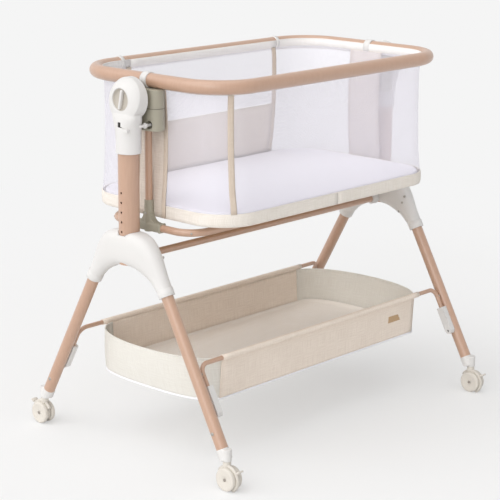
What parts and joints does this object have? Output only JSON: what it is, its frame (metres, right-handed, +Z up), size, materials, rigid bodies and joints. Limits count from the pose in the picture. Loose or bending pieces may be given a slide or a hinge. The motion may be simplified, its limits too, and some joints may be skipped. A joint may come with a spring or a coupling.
{
  "type": "bedside sleeper crib",
  "caption": "Bedside sleeper crib: oval bassinet with mesh walls and a drop side between two height-adjustable masts on arched legs, with a fabric basket below and braked casters.",
  "frame": {"origin": "centre of the footprint on the floor below the crib", "axes": "+X along the crib's length to the right end, +Y to the side that drops, +Z up"},
  "size_m": [0.916, 0.66, 0.8375],
  "materials": {
    "wood_tone_enamel": "satin paint over steel tube",
    "white_plastic": "fine satin",
    "grey_plastic": "fine satin",
    "cream_plastic": "satin",
    "linen": "plain weave",
    "mesh": "open knitted mesh",
    "mattress_cover": "smooth knit",
    "basket_lining": "plain weave",
    "label_tape": "woven",
    "board": "plain board",
    "steel": "brushed"
  },
  "bodies": {
    "stand": {"left_yoke_outer": "white_plastic", "left_yoke_inner": "white_plastic", "right_yoke_outer": "white_plastic", "right_yoke_inner": "white_plastic", "front_left_leg": "wood_tone_enamel", "back_left_leg": "wood_tone_enamel", "front_right_leg": "wood_tone_enamel", "back_right_leg": "wood_tone_enamel", "foot_caps": "white_plastic", "crossbar": "wood_tone_enamel", "crossbar_sockets": "white_plastic", "stand_fasteners": "steel", "basket_rod_front": "wood_tone_enamel", "basket_rod_back": "wood_tone_enamel", "basket_brackets": "white_plastic", "basket_tub": "linen", "basket_floor_insert": "basket_lining", "basket_label": "label_tape"},
    "left_mast": {"left_post": "wood_tone_enamel", "left_head_outer": "white_plastic", "left_head_inner": "white_plastic", "left_pivot_shaft": "steel"},
    "left_knob": {"left_lock_knob": "white_plastic"},
    "left_slider": {"left_lock_slider": "white_plastic"},
    "left_bolt": {"left_lock_bolt": "white_plastic"},
    "right_mast": {"right_post": "wood_tone_enamel", "right_head_outer": "white_plastic", "right_head_inner": "white_plastic", "right_pivot_shaft": "steel"},
    "right_knob": {"right_lock_knob": "white_plastic"},
    "right_slider": {"right_lock_slider": "white_plastic"},
    "right_bolt": {"right_lock_bolt": "white_plastic"},
    "bassinet": {"left_hinge_block": "grey_plastic", "right_hinge_block": "grey_plastic", "end_tubes": "wood_tone_enamel", "t_fittings": "grey_plastic", "base_tubes": "wood_tone_enamel", "base_board": "board", "bassinet_screws": "steel", "top_rail": "wood_tone_enamel", "rail_sleeves": "white_plastic", "rail_clips": "white_plastic", "base_tray": "linen", "mattress": "mattress_cover", "mesh_walls": "mesh", "back_panel": "linen"},
    "drop_side": {"drop_rail": "wood_tone_enamel", "drop_mesh": "mesh"},
    "front_left_caster_body": {"front_left_caster": "cream_plastic"},
    "front_left_wheels_body": {"front_left_wheels": "cream_plastic"},
    "front_left_brake_body": {"front_left_brake": "cream_plastic"},
    "back_left_caster_body": {"back_left_caster": "cream_plastic"},
    "back_left_wheels_body": {"back_left_wheels": "cream_plastic"},
    "back_left_brake_body": {"back_left_brake": "cream_plastic"},
    "front_right_caster_body": {"front_right_caster": "cream_plastic"},
    "front_right_wheels_body": {"front_right_wheels": "cream_plastic"},
    "front_right_brake_body": {"front_right_brake": "cream_plastic"},
    "back_right_caster_body": {"back_right_caster": "cream_plastic"},
    "back_right_wheels_body": {"back_right_wheels": "cream_plastic"},
    "back_right_brake_body": {"back_right_brake": "cream_plastic"}
  },
  "joints": [
    {"name": "left_height", "type": "slide", "parent": "stand", "child": "left_mast", "axis": [0, 0, 1], "range_m": [-0.042, 0.042]},
    {"name": "right_height", "type": "slide", "parent": "stand", "child": "right_mast", "axis": [0, 0, 1], "range_m": [-0.042, 0.042]},
    {"name": "bassinet_rock", "type": "hinge", "parent": "left_mast", "child": "bassinet", "pos_m": [0, 0, 0.7855], "axis": [1, 0, 0], "range_deg": [-4, 4]},
    {"name": "drop_side_fold", "type": "hinge", "parent": "bassinet", "child": "drop_side", "pos_m": [0, 0.1985, 0.6752], "axis": [1, 0, 0], "range_deg": [-150, 0]},
    {"name": "left_knob_turn", "type": "hinge", "parent": "left_mast", "child": "left_knob", "pos_m": [-0.43, 0, 0.7855], "axis": [-1, 0, 0], "range_deg": [0, 90]},
    {"name": "left_slider_slide", "type": "slide", "parent": "left_mast", "child": "left_slider", "axis": [0, 1, 0], "range_m": [0, 0.008]},
    {"name": "left_bolt_slide", "type": "slide", "parent": "left_mast", "child": "left_bolt", "axis": [-1, 0, 0], "range_m": [0, 0.01]},
    {"name": "right_knob_turn", "type": "hinge", "parent": "right_mast", "child": "right_knob", "pos_m": [0.43, 0, 0.7855], "axis": [1, 0, 0], "range_deg": [0, 90]},
    {"name": "right_slider_slide", "type": "slide", "parent": "right_mast", "child": "right_slider", "axis": [0, -1, 0], "range_m": [0, 0.008]},
    {"name": "right_bolt_slide", "type": "slide", "parent": "right_mast", "child": "right_bolt", "axis": [1, 0, 0], "range_m": [0, 0.01]},
    {"name": "front_left_swivel", "type": "hinge", "parent": "stand", "child": "front_left_caster_body", "pos_m": [-0.432, -0.289, 0.05], "axis": [0, 0, 1], "continuous": true},
    {"name": "front_left_roll", "type": "hinge", "parent": "front_left_caster_body", "child": "front_left_wheels_body", "pos_m": [-0.432, -0.295, 0.025], "axis": [1, 0, 0], "continuous": true},
    {"name": "front_left_brake_press", "type": "hinge", "parent": "front_left_caster_body", "child": "front_left_brake_body", "pos_m": [-0.432, -0.31425, 0.03848], "axis": [1, 0, 0], "range_deg": [0, 8]},
    {"name": "back_left_swivel", "type": "hinge", "parent": "stand", "child": "back_left_caster_body", "pos_m": [-0.432, 0.289, 0.05], "axis": [0, 0, 1], "continuous": true},
    {"name": "back_left_roll", "type": "hinge", "parent": "back_left_caster_body", "child": "back_left_wheels_body", "pos_m": [-0.432, 0.295, 0.025], "axis": [1, 0, 0], "continuous": true},
    {"name": "back_left_brake_press", "type": "hinge", "parent": "back_left_caster_body", "child": "back_left_brake_body", "pos_m": [-0.432, 0.31425, 0.03848], "axis": [-1, 0, 0], "range_deg": [0, 8]},
    {"name": "front_right_swivel", "type": "hinge", "parent": "stand", "child": "front_right_caster_body", "pos_m": [0.432, -0.289, 0.05], "axis": [0, 0, 1], "continuous": true},
    {"name": "front_right_roll", "type": "hinge", "parent": "front_right_caster_body", "child": "front_right_wheels_body", "pos_m": [0.432, -0.295, 0.025], "axis": [1, 0, 0], "continuous": true},
    {"name": "front_right_brake_press", "type": "hinge", "parent": "front_right_caster_body", "child": "front_right_brake_body", "pos_m": [0.432, -0.31425, 0.03848], "axis": [1, 0, 0], "range_deg": [0, 8]},
    {"name": "back_right_swivel", "type": "hinge", "parent": "stand", "child": "back_right_caster_body", "pos_m": [0.432, 0.289, 0.05], "axis": [0, 0, 1], "continuous": true},
    {"name": "back_right_roll", "type": "hinge", "parent": "back_right_caster_body", "child": "back_right_wheels_body", "pos_m": [0.432, 0.295, 0.025], "axis": [1, 0, 0], "continuous": true},
    {"name": "back_right_brake_press", "type": "hinge", "parent": "back_right_caster_body", "child": "back_right_brake_body", "pos_m": [0.432, 0.31425, 0.03848], "axis": [-1, 0, 0], "range_deg": [0, 8]}
  ],
  "couplings": [
    {"joint": "right_height", "follows": "left_height", "ratio": 1},
    {"joint": "left_bolt_slide", "follows": "left_slider_slide", "ratio": 1.25},
    {"joint": "right_bolt_slide", "follows": "right_slider_slide", "ratio": 1.25}
  ]
}
